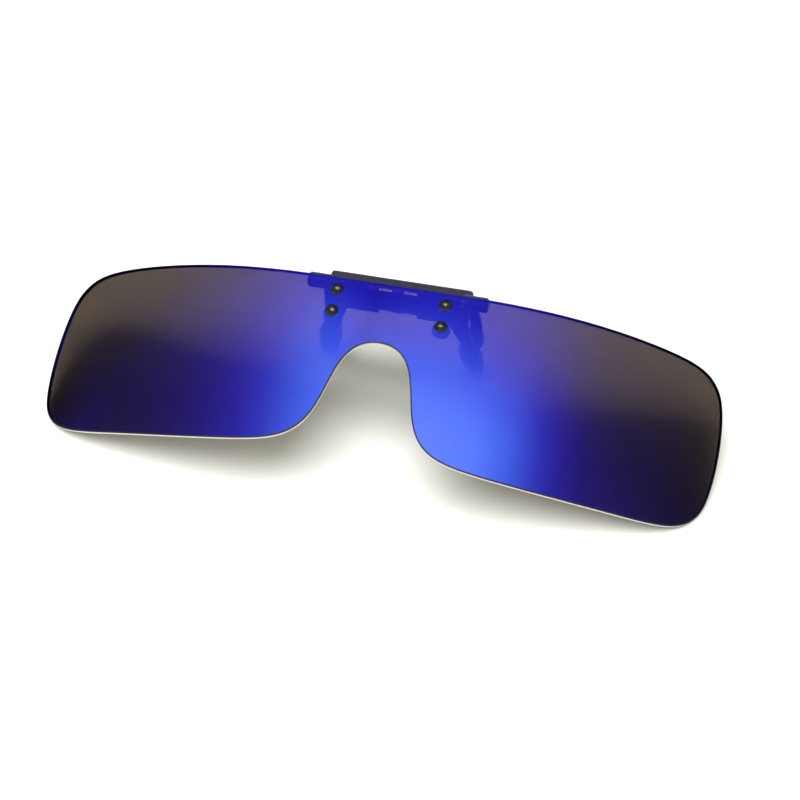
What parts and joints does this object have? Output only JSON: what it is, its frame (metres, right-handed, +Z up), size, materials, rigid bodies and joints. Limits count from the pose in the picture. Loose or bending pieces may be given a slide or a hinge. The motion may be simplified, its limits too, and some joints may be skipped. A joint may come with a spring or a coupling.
{
  "type": "clip on sunglasses",
  "caption": "Flip-up clip-on sun lens: a curved one-piece mirrored lens on a sprung, hinged claw clip that grips spectacles at the nose bridge.",
  "frame": {"origin": "on the table, under the middle of the part's box", "axes": "+X to the right of the lens seen from its front, +Y away from the lens's lower edge, +Z up from the table"},
  "size_m": [0.1366, 0.0496, 0.0288],
  "materials": {
    "mirror_lens": "blue mirror coat over a smoke tint",
    "black_sheet": "satin black",
    "rivet_black": "gloss black",
    "bright_steel": "drawn wire",
    "clear_nylon": "natural nylon",
    "soft_sleeve": "soft matt"
  },
  "bodies": {
    "lens_unit": {"lens": "mirror_lens", "lens_bracket": "black_sheet", "rivet_ul": "rivet_black", "rivet_ur": "rivet_black", "rivet_ll": "rivet_black", "rivet_lr": "rivet_black", "washer_ul": "clear_nylon", "washer_ur": "clear_nylon", "washer_ll": "clear_nylon", "washer_lr": "clear_nylon"},
    "clip_unit": {"clip_base": "black_sheet", "flip_pin_l": "bright_steel", "flip_pin_r": "bright_steel", "friction_washer_l": "bright_steel", "friction_washer_r": "bright_steel", "jaw_pin": "bright_steel", "jaw_spring": "bright_steel", "sleeve_front_l": "soft_sleeve", "sleeve_front_r": "soft_sleeve"},
    "rear_jaw": {"squeeze_lever": "black_sheet", "sleeve_rear_l": "soft_sleeve", "sleeve_rear_r": "soft_sleeve"}
  },
  "joints": [
    {"name": "flip", "type": "hinge", "parent": "lens_unit", "child": "clip_unit", "pos_m": [0, 0.01466, 0.0231], "axis": [-1, 0, 0], "range_deg": [0, 90]},
    {"name": "jaw", "type": "hinge", "parent": "clip_unit", "child": "rear_jaw", "pos_m": [0, 0.01713, 0.01911], "axis": [1, 0, 0], "range_deg": [0, 30], "stiffness_Nm_per_rad": 0.04, "springref_deg": -34.38, "deforming": ["jaw_spring"]}
  ]
}
